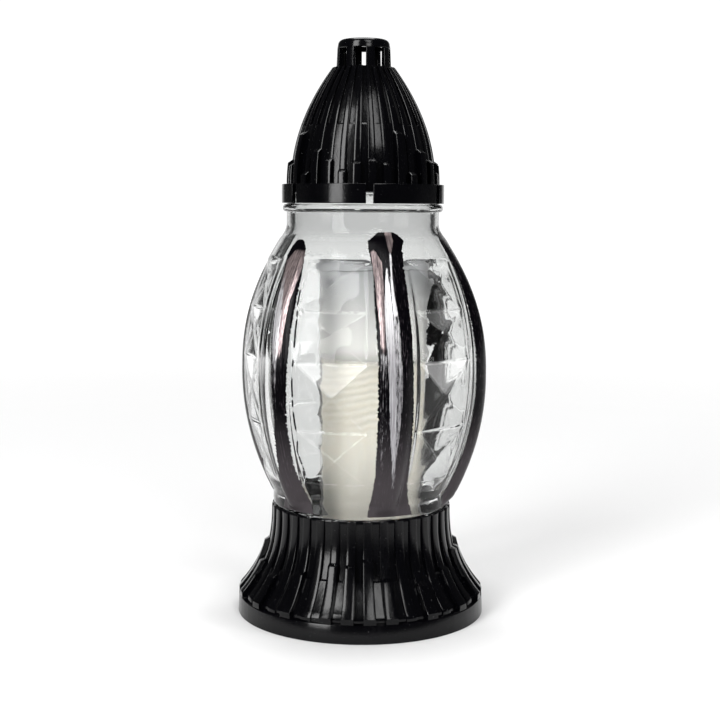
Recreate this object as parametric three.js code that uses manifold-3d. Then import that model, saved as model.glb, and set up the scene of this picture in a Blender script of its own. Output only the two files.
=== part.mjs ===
// Grave lantern: a moulded base, a glass jar with six ribs, a slotted lid and the candle insert.
// Millimetres, +Z up, origin on the ground under the middle of the base, front towards -Y.
// An azimuth is counted from the front, towards +X.
import * as THREE from 'three';
import { mergeVertices } from 'three/addons/utils/BufferGeometryUtils.js';
import Module from 'manifold-3d';

const wasm = await Module();
wasm.setup();

// Clearances and cutting overrun
const seatGap = 0.3;
const fitGap = 0.4;
const overrun = 1;

// Base
const flangeRadius = 56.6;
const flangeDraft = 0.3;
const flangeHeight = 8.2;
const flangeEdge = 0.5;
const baseHeight = 50;
const rimRadius = 41.1;
const rimEdge = 0.6;
const rimChamfer = 0.3;
const rimWall = 1.2;
const footStep = 1.8;
const footHeight = 2.2;
const flarePower = 2.6;
const baseWall = 2;
const deckTop = 36;
const deckThickness = 2.4;
const baseRibCount = 36;
const baseRibDegrees = 5.6;
const baseRibTurn = 4.2;
const baseRibRoot = 1;
const baseRibDrop = 0.2;
const baseGrooveTop = 0.8;
const baseGrooveFoot = 1.8;
const baseFillerTop = 24.3;
const baseFillerDrop = 0.7;
const baseBlockRise = 1.8;
const baseBlockChamfer = 1.1;
const baseBlockMargin = 0.1;
// Height of the thick part of each rib in a quarter turn, as a share of the base's height, 0 for none
const baseBlockShares = [0.67, 0.51, 0, 0.45, 0, 0.53, 0, 0.63, 0.62];

// Glass jar
const jarRibCount = 6;
const jarRibTurn = 15.2;
const jarRibDegrees = 16.8;
const jarRibFoot = 4.2;
const jarRibBelly = 2.9;
const jarRibOverlap = 1;
const jarRibPower = 0.8;
const plugChamfer = 1;
const jarFloorThickness = 5.7;
const jarFootInset = 0.9;
const jarFootBand = 2.2;
const jarFootRise = 4;
const bellyStep = 2.2;
const bellyRise = 61.7;
const lowerPower = 2.05;
const upperPower = 2.2;
const shoulderRise = 120.7;
const shoulderStep = 3.2;
const neckRadius = 34.4;
const neckWall = 3.4;
const neckRise = 7;
const neckLength = 5;
const beadStep = 1.8;
const beadHeight = 3.4;
const beadEdge = 0.6;
const mouthHeight = 5.1;
const mouthEdge = 0.7;
const jarWall = 5.4;
const floorFillet = 6;
const fieldDegrees = 34.6;
const fieldLedge = 0.8;
const fieldLedgeDegrees = 0.5;
const fieldSink = 0.6;
const gemDepth = 3.3;
// Heights of the ridges between the pyramids, and of the pyramids' points, as shares of the
// jar's rise from its seat to its shoulder
const ridgeShares = [0.129, 0.327, 0.571, 0.751, 0.924];
const pointShares = [0.22, 0.451, 0.675, 0.853];

// Candle insert
const insertGap = 0.7;
const cupRadius = 24.5;
const cupDraft = 0.5;
const cupWall = 0.9;
const cupFloor = 1.2;
const cupHeight = 117;
const cupLip = 0.7;
const cupLipHeight = 2;
const waxHeight = 74;
const waxDish = 0.8;
const wickRadius = 1;
const wickStand = 9;
const sustainerRadius = 9;
const sustainerSheet = 0.4;
const sustainerTube = 8;
const sustainerTubeWall = 0.5;

// Lid
const collarWall = 1.8;
const collarEdge = 0.5;
const collarSlotCount = 6;
const collarSlotWidth = 3;
const collarSlotTurn = 4.5;
const seatRingReach = 3.5;
const seatRingHeight = 3.5;
const shieldLedge = 2.2;
const domeHeight = 51.6;
const domeTopRadius = 14;
const domePower = 2.05;
const lidWall = 1.5;
const lidRibCount = 32;
const lidRibDegrees = 5.9;
const lidRibTurn = 6.7;
const lidGroove = 1.4;
const lidFillerHeight = 26;
const lidFillerDrop = 0.5;
const lidBlockRise = 1.9;
const lidBlockChamfer = 1.4;
// Height of the thick part of each rib in a quarter turn, as a share of the dome's height
const lidBlockShares = [0.21, 0.18, 0.44, 0.1, 0.29, 0.21, 0.12, 0.19];
const finialRadius = 12.3;
const finialDraft = 0.7;
const finialHeight = 12.3;
const finialEdge = 2.4;
const finialTop = 1.6;
const finialSlotCount = 8;
const finialSlotDegrees = 26;
const finialSlotTurn = -8.25;
const finialSlotSill = 0.3;
const finialSlotHeight = 8.2;

// Heat shield
const shieldSheet = 0.5;
const shieldRim = 5;
const shieldRise = 7;
const shieldCrown = 11;
const shieldHole = 4;
const shieldVentCount = 6;
const shieldVentRadius = 2.2;
const shieldVentShare = 0.5;

// Facets round a full turn
const flangeFacets = 72;
const jarFacets = 30;
const smallFacets = 24;
const finestFacets = 8;

// Where the pieces meet
const footRadius = flangeRadius - footStep;
const footTop = flangeHeight + footHeight;
const socketRadius = rimRadius - baseGrooveTop - rimWall;
const plugRadius = socketRadius - fitGap;
const plugBottom = deckTop + seatGap;
const jarFloor = plugBottom + jarFloorThickness;
const jarSeat = baseHeight + seatGap;
const jarFootRadius = rimRadius - jarFootInset;
const jarFootTop = jarSeat + jarFootBand;
const jarRise = jarFootTop + jarFootRise;
const bellyHeight = jarSeat + bellyRise;
const bellyRadius = flangeRadius - bellyStep;
const shoulderHeight = jarSeat + shoulderRise;
const shoulderRadius = neckRadius + shoulderStep;
const neckStart = shoulderHeight + neckRise;
const beadLow = neckStart + neckLength;
const beadHigh = beadLow + beadHeight;
const beadRadius = neckRadius + beadStep;
const jarHeight = beadHigh + mouthHeight;
const boreRadius = neckRadius - neckWall;
const lidSeat = jarHeight + seatGap;
const collarBore = neckRadius + fitGap;
const collarRadius = collarBore + collarWall;
const collarBottom = beadHigh + fitGap;
const collarTop = lidSeat + seatRingHeight;
const seatRingRadius = boreRadius - seatRingReach;
const domeRadius = seatRingRadius + shieldLedge + lidWall + lidGroove;
const domeTop = collarTop + domeHeight;

// The insert stands to one side, just short of the round at the edge of the jar's floor.
const floorRadius = jarFootRadius - jarWall - floorFillet;
const insertOffset = floorRadius - (cupRadius - cupDraft - cupWall) - insertGap;

const quarter = 4;
// A corner rounded with one point between its ends has that point this share of its radius in.
const roundShare = 1 - Math.SQRT1_2;
const rad = THREE.MathUtils.degToRad;

// Place of a point at a radius, an azimuth in degrees and a height.
function place(radius, degrees, height) {
  return [radius * Math.sin(rad(degrees)), -radius * Math.cos(rad(degrees)), height];
}

// Indexed geometry with shared corners merged and triangles without area left out.
function weld(geometry) {
  const bare = new THREE.BufferGeometry();
  bare.setAttribute('position', geometry.getAttribute('position'));
  bare.setIndex(geometry.getIndex());
  const merged = mergeVertices(bare);
  const index = merged.getIndex().array;
  const kept = [];
  for (let i = 0; i < index.length; i += 3) {
    const [a, b, c] = [index[i], index[i + 1], index[i + 2]];
    if (a !== b && b !== c && c !== a) {
      kept.push(a, b, c);
    }
  }
  merged.setIndex(kept);
  return merged;
}

function solid(geometry) {
  const welded = weld(geometry);
  return new wasm.Manifold(new wasm.Mesh({
    numProp: 3,
    vertProperties: new Float32Array(welded.getAttribute('position').array),
    triVerts: new Uint32Array(welded.getIndex().array),
  }));
}

function geometryOf(manifold) {
  const mesh = manifold.getMesh();
  const geometry = new THREE.BufferGeometry();
  geometry.setAttribute('position', new THREE.BufferAttribute(mesh.vertProperties, 3));
  geometry.setIndex(new THREE.BufferAttribute(mesh.triVerts, 1));
  geometry.computeVertexNormals();
  return geometry;
}

// Solid turned from an outline of [radius, height] points that runs from the axis, up the
// outside and back to the axis, or round a ring.
function turned(outline, facets, turnDegrees = 0) {
  const points = outline.map(([radius, height]) => new THREE.Vector2(radius, height));
  return new THREE.LatheGeometry(points, facets).rotateX(Math.PI / 2).rotateZ(rad(turnDegrees));
}

// Closed ring outline: the first point is repeated at the end.
function ring(outline, facets) {
  return turned([...outline, outline[0]], facets);
}

// Slice of a turned solid between two radial planes, from an outline of [radius, height] points.
function wedge(outline, widthDegrees, turnDegrees) {
  const count = outline.length;
  const flat = outline.map(([radius, height]) => new THREE.Vector2(radius, height));
  const caps = THREE.ShapeUtils.triangulateShape(flat, []);
  const up = THREE.ShapeUtils.area(flat) > 0;
  const positions = [];
  for (const side of [-1, 1]) {
    for (const [radius, height] of outline) {
      positions.push(...place(radius, turnDegrees + side * widthDegrees / 2, height));
    }
  }
  const index = [];
  for (const [a, b, c] of caps) {
    index.push(a, b, c);
    index.push(c + count, b + count, a + count);
  }
  for (let i = 0; i < count; i += 1) {
    const j = (i + 1) % count;
    index.push(i, i + count, j);
    index.push(j, i + count, j + count);
  }
  if (!up) {
    index.reverse();
  }
  const geometry = new THREE.BufferGeometry();
  geometry.setAttribute('position', new THREE.Float32BufferAttribute(positions, 3));
  geometry.setIndex(index);
  return geometry;
}

// Heights from one to another in equal steps, both ends included.
function steps(from, to, count) {
  return Array.from({ length: count + 1 }, (_, i) => from + (to - from) * i / count);
}

// Base: flare, ribs, the lower fillers between them and the thick lower parts of some ribs
function flareShare(height) {
  return Math.min(1, Math.max(0, (baseHeight - height) / (baseHeight - footTop)));
}

function flareRadius(height) {
  return rimRadius + (footRadius - rimRadius) * flareShare(height) ** flarePower;
}

function baseGroove(height) {
  return baseGrooveTop + (baseGrooveFoot - baseGrooveTop) * flareShare(height);
}

function makeBase() {
  const filler = (height) => [flareRadius(height) - baseFillerDrop, height];
  const groove = (height) => [flareRadius(height) - baseGroove(height), height];
  const flange = solid(turned([
    [0, 0],
    [flangeRadius - flangeEdge, 0],
    [flangeRadius, flangeEdge],
    [flangeRadius - flangeDraft, flangeHeight - flangeEdge],
    [flangeRadius - flangeDraft - flangeEdge, flangeHeight],
    [0, flangeHeight],
  ], flangeFacets));
  const ribFoot = flangeHeight - baseRibRoot;
  let base = solid(turned([
    [0, ribFoot],
    [footRadius - baseFillerDrop, ribFoot],
    ...steps(footTop, baseFillerTop, 2).map(filler),
    ...steps(baseFillerTop, deckTop, 2).map(groove),
    groove(baseHeight - rimEdge),
    [rimRadius - baseGrooveTop - rimChamfer, baseHeight],
    [0, baseHeight],
  ], baseRibCount, baseRibTurn)).add(flange);

  const limit = flangeRadius - flangeDraft - baseBlockMargin;
  for (let i = 0; i < baseRibCount; i += 1) {
    const blockTop = baseBlockShares[i % (baseRibCount / quarter)] * baseHeight;
    const isBlock = (height) => height < blockTop;
    const reach = (height) => (isBlock(height)
      ? Math.min(limit, flareRadius(height) + baseBlockRise)
      : flareRadius(height));
    const heights = steps(footTop, baseFillerTop, 2);
    heights.push(...steps(baseFillerTop, deckTop, 2).slice(1));
    if (blockTop > 0) {
      heights.push(blockTop - baseBlockChamfer, blockTop);
    }
    heights.sort((low, high) => low - high);
    const outline = [
      [socketRadius, ribFoot],
      [reach(footTop), ribFoot],
      ...heights.map((height) => [reach(height), height]),
      [rimRadius, baseHeight - rimEdge],
      [rimRadius - rimEdge, baseHeight - baseRibDrop],
      [socketRadius, baseHeight - baseRibDrop],
    ];
    base = base.add(solid(wedge(outline, baseRibDegrees, baseRibTurn + i * 360 / baseRibCount)));
  }

  const deckBottom = deckTop - deckThickness;
  const skirt = (height) => flareRadius(height) - baseGroove(height) - baseWall;
  const cavity = turned([
    [0, -overrun],
    [flangeRadius - flangeDraft - baseWall, -overrun],
    [flangeRadius - flangeDraft - baseWall, flangeHeight - baseWall],
    ...steps(footTop - baseWall, deckBottom, 3).map((height) => [skirt(height + baseWall), height]),
    [0, deckBottom],
  ], baseRibCount, baseRibTurn);
  const socket = turned([
    [0, deckTop],
    [socketRadius, deckTop],
    [socketRadius, baseHeight + overrun],
    [0, baseHeight + overrun],
  ], baseRibCount, baseRibTurn);
  return geometryOf(base.subtract(solid(cavity)).subtract(solid(socket)));
}

// Glass jar: barrel, six ribs, and four sunk pyramids above one another in each panel
function panelRadius(height) {
  if (height <= jarRise) {
    return jarFootRadius;
  }
  if (height <= bellyHeight) {
    const share = (bellyHeight - height) / (bellyHeight - jarRise);
    return bellyRadius - (bellyRadius - jarFootRadius) * share ** lowerPower;
  }
  if (height <= shoulderHeight) {
    const share = (height - bellyHeight) / (shoulderHeight - bellyHeight);
    return bellyRadius - (bellyRadius - shoulderRadius) * share ** upperPower;
  }
  const share = Math.min(1, (height - shoulderHeight) / (neckStart - shoulderHeight));
  return neckRadius + (shoulderRadius - neckRadius) * (1 - share) ** 2;
}

function ribRise(height) {
  const ribTop = shoulderHeight + jarRibOverlap;
  if (height <= jarFootTop || height >= ribTop) {
    return 0;
  }
  if (height < jarRise) {
    return jarRibFoot * Math.sqrt((height - jarFootTop) / jarFootRise);
  }
  if (height < bellyHeight) {
    const share = (bellyHeight - height) / (bellyHeight - jarRise);
    return jarRibBelly + (jarRibFoot - jarRibBelly) * share;
  }
  const share = (height - bellyHeight) / (ribTop - bellyHeight);
  return jarRibBelly * (1 - share ** 2);
}

// Cross-section of a rib: a round bead, 1 at its crest and 0 at its edges.
function bead(degrees) {
  const share = Math.abs(degrees) / (jarRibDegrees / 2);
  return share >= 1 ? 0 : Math.cos(share * Math.PI / 2) ** jarRibPower;
}

function makeJar() {
  const pitch = 360 / jarRibCount;
  const fieldStart = (pitch - fieldDegrees) / 2;
  const ribShares = [-1, -0.7, -0.3, 0.3, 0.7, 1];
  const fieldColumns = steps(fieldStart, pitch - fieldStart, 2);
  const columns = [];
  for (let sector = 0; sector < jarRibCount; sector += 1) {
    const turn = jarRibTurn + sector * pitch;
    for (const share of ribShares) {
      const degrees = share * jarRibDegrees / 2;
      columns.push({ turn: turn + degrees, bead: bead(degrees), field: -1 });
    }
    columns.push({ turn: turn + fieldStart - fieldLedgeDegrees, bead: 0, field: -1 });
    fieldColumns.forEach((degrees, i) => columns.push({ turn: turn + degrees, bead: 0, field: i }));
    columns.push({ turn: turn + pitch - fieldStart + fieldLedgeDegrees, bead: 0, field: -1 });
  }

  const ridges = ridgeShares.map((share) => jarSeat + share * shoulderRise);
  const points = pointShares.map((share) => jarSeat + share * shoulderRise);
  const rows = [];
  const row = (height, radius, inField = false) => rows.push({ height, radius, inField });
  row(plugBottom, plugRadius - plugChamfer);
  row(plugBottom + plugChamfer, plugRadius);
  row(jarSeat, plugRadius);
  row(jarSeat, jarFootRadius);
  for (const height of steps(jarFootTop, ridges[0] - fieldLedge, 3)) {
    row(height, panelRadius(height));
  }
  ridges.forEach((height, i) => {
    row(height, panelRadius(height), true);
    if (i < points.length) {
      row(points[i], panelRadius(points[i]), true);
    }
  });
  for (const height of steps(ridges.at(-1) + fieldLedge, neckStart, 3)) {
    row(height, panelRadius(height));
  }
  row(beadLow, neckRadius);
  row(beadLow + beadEdge, beadRadius);
  row(beadHigh - beadEdge, beadRadius);
  row(beadHigh, neckRadius);
  row(jarHeight - mouthEdge, neckRadius);
  row(jarHeight, neckRadius - mouthEdge);

  const positions = [];
  rows.forEach((level) => {
    for (const column of columns) {
      const sunk = level.inField && column.field >= 0 ? fieldSink : 0;
      const radius = level.radius + column.bead * ribRise(level.height) - sunk;
      positions.push(...place(radius, column.turn, level.height));
    }
  });
  const at = (i, j) => i * columns.length + (j % columns.length);
  const index = [];
  const isField = (j) => {
    const next = columns[(j + 1) % columns.length];
    return columns[j].field >= 0 && next.field > columns[j].field;
  };
  for (let i = 0; i + 1 < rows.length; i += 1) {
    for (let j = 0; j < columns.length; j += 1) {
      if (!(rows[i].inField && rows[i + 1].inField && isField(j))) {
        index.push(at(i, j), at(i, j + 1), at(i + 1, j));
        index.push(at(i, j + 1), at(i + 1, j + 1), at(i + 1, j));
      }
    }
  }

  // A sunk pyramid joins the outline of its cell to one point behind the surface.
  const firstRow = rows.findIndex((level) => level.inField);
  for (let j = 0; j < columns.length; j += 1) {
    if (columns[j].field === 0) {
      points.forEach((height, k) => {
        const low = firstRow + 2 * k;
        const point = positions.length / 3;
        const middle = columns[j + 1].turn;
        positions.push(...place(panelRadius(height) - fieldSink - gemDepth, middle, height));
        const outline = [
          at(low, j), at(low, j + 1), at(low, j + 2), at(low + 1, j + 2),
          at(low + 2, j + 2), at(low + 2, j + 1), at(low + 2, j), at(low + 1, j),
        ];
        outline.forEach((corner, n) => index.push(corner, outline[(n + 1) % outline.length], point));
      });
    }
  }
  const bottom = positions.length / 3;
  positions.push(0, 0, plugBottom);
  const top = bottom + 1;
  positions.push(0, 0, jarHeight);
  const last = rows.length - 1;
  for (let j = 0; j < columns.length; j += 1) {
    index.push(at(0, j + 1), at(0, j), bottom);
    index.push(at(last, j), at(last, j + 1), top);
  }
  const outside = new THREE.BufferGeometry();
  outside.setAttribute('position', new THREE.Float32BufferAttribute(positions, 3));
  outside.setIndex(index);

  const inner = (height) => panelRadius(height) - jarWall;
  const inside = turned([
    [0, jarFloor],
    [floorRadius, jarFloor],
    [inner(jarRise) - floorFillet * roundShare, jarFloor + floorFillet * roundShare],
    [inner(jarRise), jarFloor + floorFillet],
    ...steps(jarRise, shoulderHeight, 7).map((height) => [inner(height), height]),
    [boreRadius, neckStart],
    [boreRadius, jarHeight - mouthEdge],
    [boreRadius + mouthEdge, jarHeight],
    [boreRadius + mouthEdge, jarHeight + overrun],
    [0, jarHeight + overrun],
  ], jarFacets);
  return geometryOf(solid(outside).subtract(solid(inside)));
}

// Lid: collar with slots, ribbed dome and slotted chimney knob in one moulding
function domeRibRadius(height) {
  const share = Math.max(0, (height - collarTop) / domeHeight);
  return domeRadius - (domeRadius - domeTopRadius) * share ** domePower;
}

function makeLid() {
  const groove = (height) => [domeRibRadius(height) - lidGroove, height];
  const innerWall = (height) => [domeRibRadius(height) - lidGroove - lidWall, height];
  const filler = (height) => [domeRibRadius(height) - lidFillerDrop, height];
  const fillerTop = collarTop + lidFillerHeight;
  const finialTopHeight = domeTop + finialHeight;
  const topRadius = finialRadius - finialDraft;
  let lid = solid(turned([
    [0, collarBottom],
    [collarRadius, collarBottom],
    [collarRadius, collarTop - collarEdge],
    [collarRadius - collarEdge, collarTop],
    ...steps(collarTop, fillerTop, 2).map(filler),
    ...steps(fillerTop, domeTop, 3).map(groove),
    [finialRadius, domeTop],
    [topRadius, finialTopHeight - finialEdge],
    [topRadius - finialEdge * roundShare, finialTopHeight - finialEdge * roundShare],
    [topRadius - finialEdge, finialTopHeight],
    [0, finialTopHeight],
  ], lidRibCount, lidRibTurn));

  const ribFoot = collarTop - collarEdge;
  for (let i = 0; i < lidRibCount; i += 1) {
    const blockTop = collarTop + lidBlockShares[i % (lidRibCount / quarter)] * domeHeight;
    const reach = (height) => domeRibRadius(height) + (height < blockTop ? lidBlockRise : 0);
    const heights = [blockTop - lidBlockChamfer, blockTop, ...steps(collarTop, fillerTop, 2)];
    heights.push(...steps(fillerTop, domeTop, 3).slice(1));
    heights.sort((low, high) => low - high);
    const outline = [
      [topRadius, ribFoot],
      [reach(ribFoot), ribFoot],
      ...heights.map((height) => [reach(height), height]),
      [topRadius, domeTop],
    ];
    lid = lid.add(solid(wedge(outline, lidRibDegrees, lidRibTurn + i * 360 / lidRibCount)));
  }

  const knobBore = topRadius - lidWall;
  const inside = turned([
    [0, collarBottom - overrun],
    [collarBore, collarBottom - overrun],
    [collarBore, lidSeat],
    [seatRingRadius, lidSeat],
    [seatRingRadius, collarTop],
    ...steps(collarTop, domeTop - lidWall, 3).map(innerWall),
    [knobBore, domeTop - lidWall],
    [knobBore, finialTopHeight - finialTop],
    [0, finialTopHeight - finialTop],
  ], lidRibCount, lidRibTurn);
  lid = lid.subtract(solid(inside));

  for (let i = 0; i < collarSlotCount; i += 1) {
    const depth = collarWall + overrun;
    const length = collarTop - collarBottom + overrun * 2;
    const slot = new THREE.BoxGeometry(collarSlotWidth, depth, length);
    slot.translate(0, -collarBore - depth / 2, (collarTop + collarBottom) / 2);
    slot.rotateZ(rad(collarSlotTurn + i * 360 / collarSlotCount));
    lid = lid.subtract(solid(slot));
  }
  for (let i = 0; i < finialSlotCount; i += 1) {
    lid = lid.subtract(solid(wedge([
      [knobBore - lidWall, domeTop + finialSlotSill],
      [finialRadius + overrun, domeTop + finialSlotSill],
      [finialRadius + overrun, domeTop + finialSlotHeight],
      [knobBore - lidWall, domeTop + finialSlotHeight],
    ], finialSlotDegrees, finialSlotTurn + i * 360 / finialSlotCount)));
  }
  return geometryOf(lid);
}

// Heat shield: thin pressed sheet that snaps in above the lid's seat ring
function makeShield() {
  const low = collarTop + seatGap;
  const rimOuter = domeRadius - lidGroove - lidWall - fitGap;
  const rimInner = rimOuter - shieldRim;
  const high = low + shieldRise;
  let shield = solid(ring([
    [rimInner, low],
    [rimOuter, low],
    [rimOuter, low + shieldSheet],
    [rimInner, low + shieldSheet],
    [shieldCrown, high + shieldSheet],
    [shieldHole, high + shieldSheet],
    [shieldHole, high],
    [shieldCrown, high],
  ], smallFacets));
  const ventPlace = rimInner + (shieldCrown - rimInner) * shieldVentShare;
  for (let i = 0; i < shieldVentCount; i += 1) {
    const length = shieldRise + overrun * 2;
    const vent = new THREE.CylinderGeometry(shieldVentRadius, shieldVentRadius, length, finestFacets);
    vent.rotateX(Math.PI / 2);
    vent.translate(...place(ventPlace, i * 360 / shieldVentCount, low + shieldRise / 2));
    shield = shield.subtract(solid(vent));
  }
  return geometryOf(shield);
}

// Candle insert: heights above the jar's floor
const cupBottom = jarFloor + seatGap;
const waxBottom = cupBottom + cupFloor + seatGap;
const waxTop = waxBottom + waxHeight;
const sustainerBottom = waxBottom;

function makeCup() {
  const low = cupRadius - cupDraft;
  const top = cupBottom + cupHeight;
  return turned([
    [0, cupBottom],
    [low - cupWall, cupBottom],
    [low, cupBottom + cupWall],
    [cupRadius, top - cupLipHeight],
    [cupRadius + cupLip, top - cupLipHeight],
    [cupRadius + cupLip, top],
    [cupRadius - cupWall, top],
    [low - cupWall, cupBottom + cupFloor],
    [0, cupBottom + cupFloor],
  ], smallFacets);
}

function makeWax() {
  const bore = wickRadius + seatGap;
  const tubeBore = wickRadius + seatGap + sustainerTubeWall + seatGap;
  const lowRadius = cupRadius - cupDraft - cupWall - seatGap;
  const highRadius = lowRadius + cupDraft * waxHeight / cupHeight;
  const discTop = sustainerBottom + sustainerSheet + seatGap;
  const tubeTop = sustainerBottom + sustainerTube + seatGap;
  return ring([
    [sustainerRadius + seatGap, waxBottom],
    [lowRadius, waxBottom],
    [highRadius, waxTop],
    [highRadius - waxDish, waxTop - waxDish],
    [bore, waxTop - waxDish],
    [bore, tubeTop],
    [tubeBore, tubeTop],
    [tubeBore, discTop],
    [sustainerRadius + seatGap, discTop],
  ], smallFacets);
}

function makeSustainer() {
  const inner = wickRadius + seatGap;
  const outer = inner + sustainerTubeWall;
  return turned([
    [0, sustainerBottom],
    [sustainerRadius, sustainerBottom],
    [sustainerRadius, sustainerBottom + sustainerSheet],
    [outer, sustainerBottom + sustainerSheet],
    [outer, sustainerBottom + sustainerTube],
    [inner, sustainerBottom + sustainerTube],
    [inner, sustainerBottom + sustainerSheet],
    [0, sustainerBottom + sustainerSheet],
  ], finestFacets * 2);
}

function makeWick() {
  const low = sustainerBottom + sustainerSheet + seatGap;
  const high = waxTop - waxDish + wickStand;
  const wick = new THREE.CylinderGeometry(wickRadius, wickRadius, high - low, finestFacets);
  wick.rotateX(Math.PI / 2);
  wick.translate(0, 0, (low + high) / 2);
  return wick;
}

// Finishes
const blackPlastic = { color: 0x141417, roughness: 0.32, metalness: 0 };
const clearGlass = { color: 0xe4e8e6, roughness: 0.04, metalness: 0, transparent: true, opacity: 0.35 };
const tinplate = { color: 0xb9bbbd, roughness: 0.35, metalness: 1 };
const cupPlastic = { color: 0xe3e2dd, roughness: 0.4, metalness: 0, transparent: true, opacity: 0.7 };
const paraffin = { color: 0xe9e2cd, roughness: 0.5, metalness: 0 };
const cotton = { color: 0xeeeae0, roughness: 0.9, metalness: 0 };

const lantern = new THREE.Group();

function addMesh(parent, name, geometry, finish) {
  const mesh = new THREE.Mesh(geometry, new THREE.MeshStandardMaterial(finish));
  mesh.name = name;
  parent.add(mesh);
  return mesh;
}

addMesh(lantern, 'base', makeBase(), blackPlastic);
addMesh(lantern, 'glass_jar', makeJar(), clearGlass);

const lidGroup = new THREE.Group();
addMesh(lidGroup, 'lid_cap', makeLid(), blackPlastic);
addMesh(lidGroup, 'heat_shield', makeShield(), tinplate);
lantern.add(lidGroup);

// The insert stands loose in the jar, a little to the right of its middle.
const insertGroup = new THREE.Group();
insertGroup.position.x = insertOffset;
addMesh(insertGroup, 'candle_cup', makeCup(), cupPlastic);
addMesh(insertGroup, 'candle_wax', makeWax(), paraffin);
addMesh(insertGroup, 'wick_sustainer', makeSustainer(), tinplate);
addMesh(insertGroup, 'wick', makeWick(), cotton);
lantern.add(insertGroup);

export default lantern;
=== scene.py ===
"""Grave lantern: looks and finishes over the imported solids.

Metres, +Z up, front towards -Y. An azimuth is counted in degrees from the front, towards +X.
"""

import bpy
import numpy as np
from mathutils import Matrix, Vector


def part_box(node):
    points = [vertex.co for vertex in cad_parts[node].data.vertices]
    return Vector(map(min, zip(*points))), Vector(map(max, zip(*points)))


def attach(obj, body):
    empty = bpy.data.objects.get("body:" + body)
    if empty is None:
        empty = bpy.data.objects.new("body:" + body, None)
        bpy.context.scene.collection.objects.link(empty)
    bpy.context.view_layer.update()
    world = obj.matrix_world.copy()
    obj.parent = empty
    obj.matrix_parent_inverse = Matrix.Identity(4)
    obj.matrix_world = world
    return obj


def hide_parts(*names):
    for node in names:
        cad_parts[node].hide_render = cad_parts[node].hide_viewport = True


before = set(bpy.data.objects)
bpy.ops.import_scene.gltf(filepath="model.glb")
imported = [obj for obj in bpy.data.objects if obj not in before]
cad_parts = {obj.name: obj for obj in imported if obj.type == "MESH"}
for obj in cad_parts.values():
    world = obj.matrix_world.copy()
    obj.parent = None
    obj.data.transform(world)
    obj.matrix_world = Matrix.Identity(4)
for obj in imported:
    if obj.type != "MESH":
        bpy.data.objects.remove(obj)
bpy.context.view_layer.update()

# Camera
# It stands where the photograph was taken from: about 0.6 m in front of the lantern, a little
# above the middle of its jar, and looks slightly down.
camera_place = (-0.00085, -0.6112, 0.18595)
camera_pitch = 0.1145
camera_roll = 0.0064
camera_lens = 67.2

camera = bpy.data.objects.new("camera", bpy.data.cameras.new("camera"))
camera.data.lens = camera_lens
camera.data.sensor_width = 36
camera.data.clip_start = 0.01
camera.matrix_world = (
    Matrix.Translation(camera_place)
    @ Matrix.Rotation(np.pi / 2 - camera_pitch, 4, "X")
    @ Matrix.Rotation(camera_roll, 4, "Z")
)
bpy.context.collection.objects.link(camera)
bpy.context.scene.camera = camera


# Studio
# A white table before white paper, white to the eye from every side, while a dark room is
# mirrored in front. A tall soft box stands to the left, a higher one to the right and one hangs
# behind. Low fills in front, to the right and behind light only what is dull.
class Value:
    """A number in a material or world. Sums and products of it become Math nodes."""

    def __init__(self, shade, socket):
        self.shade = shade
        self.socket = socket

    def math(self, operation, *others):
        places = dict(enumerate((self, *others)))
        return self.shade.node("Math", {"operation": operation}, places)

    def __add__(self, other):
        return self.math("ADD", other)

    def __mul__(self, other):
        return self.math("MULTIPLY", other)

    def __sub__(self, other):
        return self.math("SUBTRACT", other)

    def __rsub__(self, other):
        return self.shade.node("Math", {"operation": "SUBTRACT"}, {0: other, 1: self})

    __radd__ = __add__
    __rmul__ = __mul__

    def ramp(self, low, high, to_low=0.0, to_high=1.0):
        """Rises smoothly from to_low to to_high while the value goes from low to high."""
        settings = {"interpolation_type": "SMOOTHSTEP"}
        places = {0: self, 1: low, 2: high, 3: to_low, 4: to_high}
        return self.shade.node("MapRange", settings, places)

    def band(self, middle, half, blur):
        """1 within half of the middle, falling smoothly to 0 over the blur on both sides."""
        away = (self - middle).math("ABSOLUTE")
        return away.ramp(half + blur, half)


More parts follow.
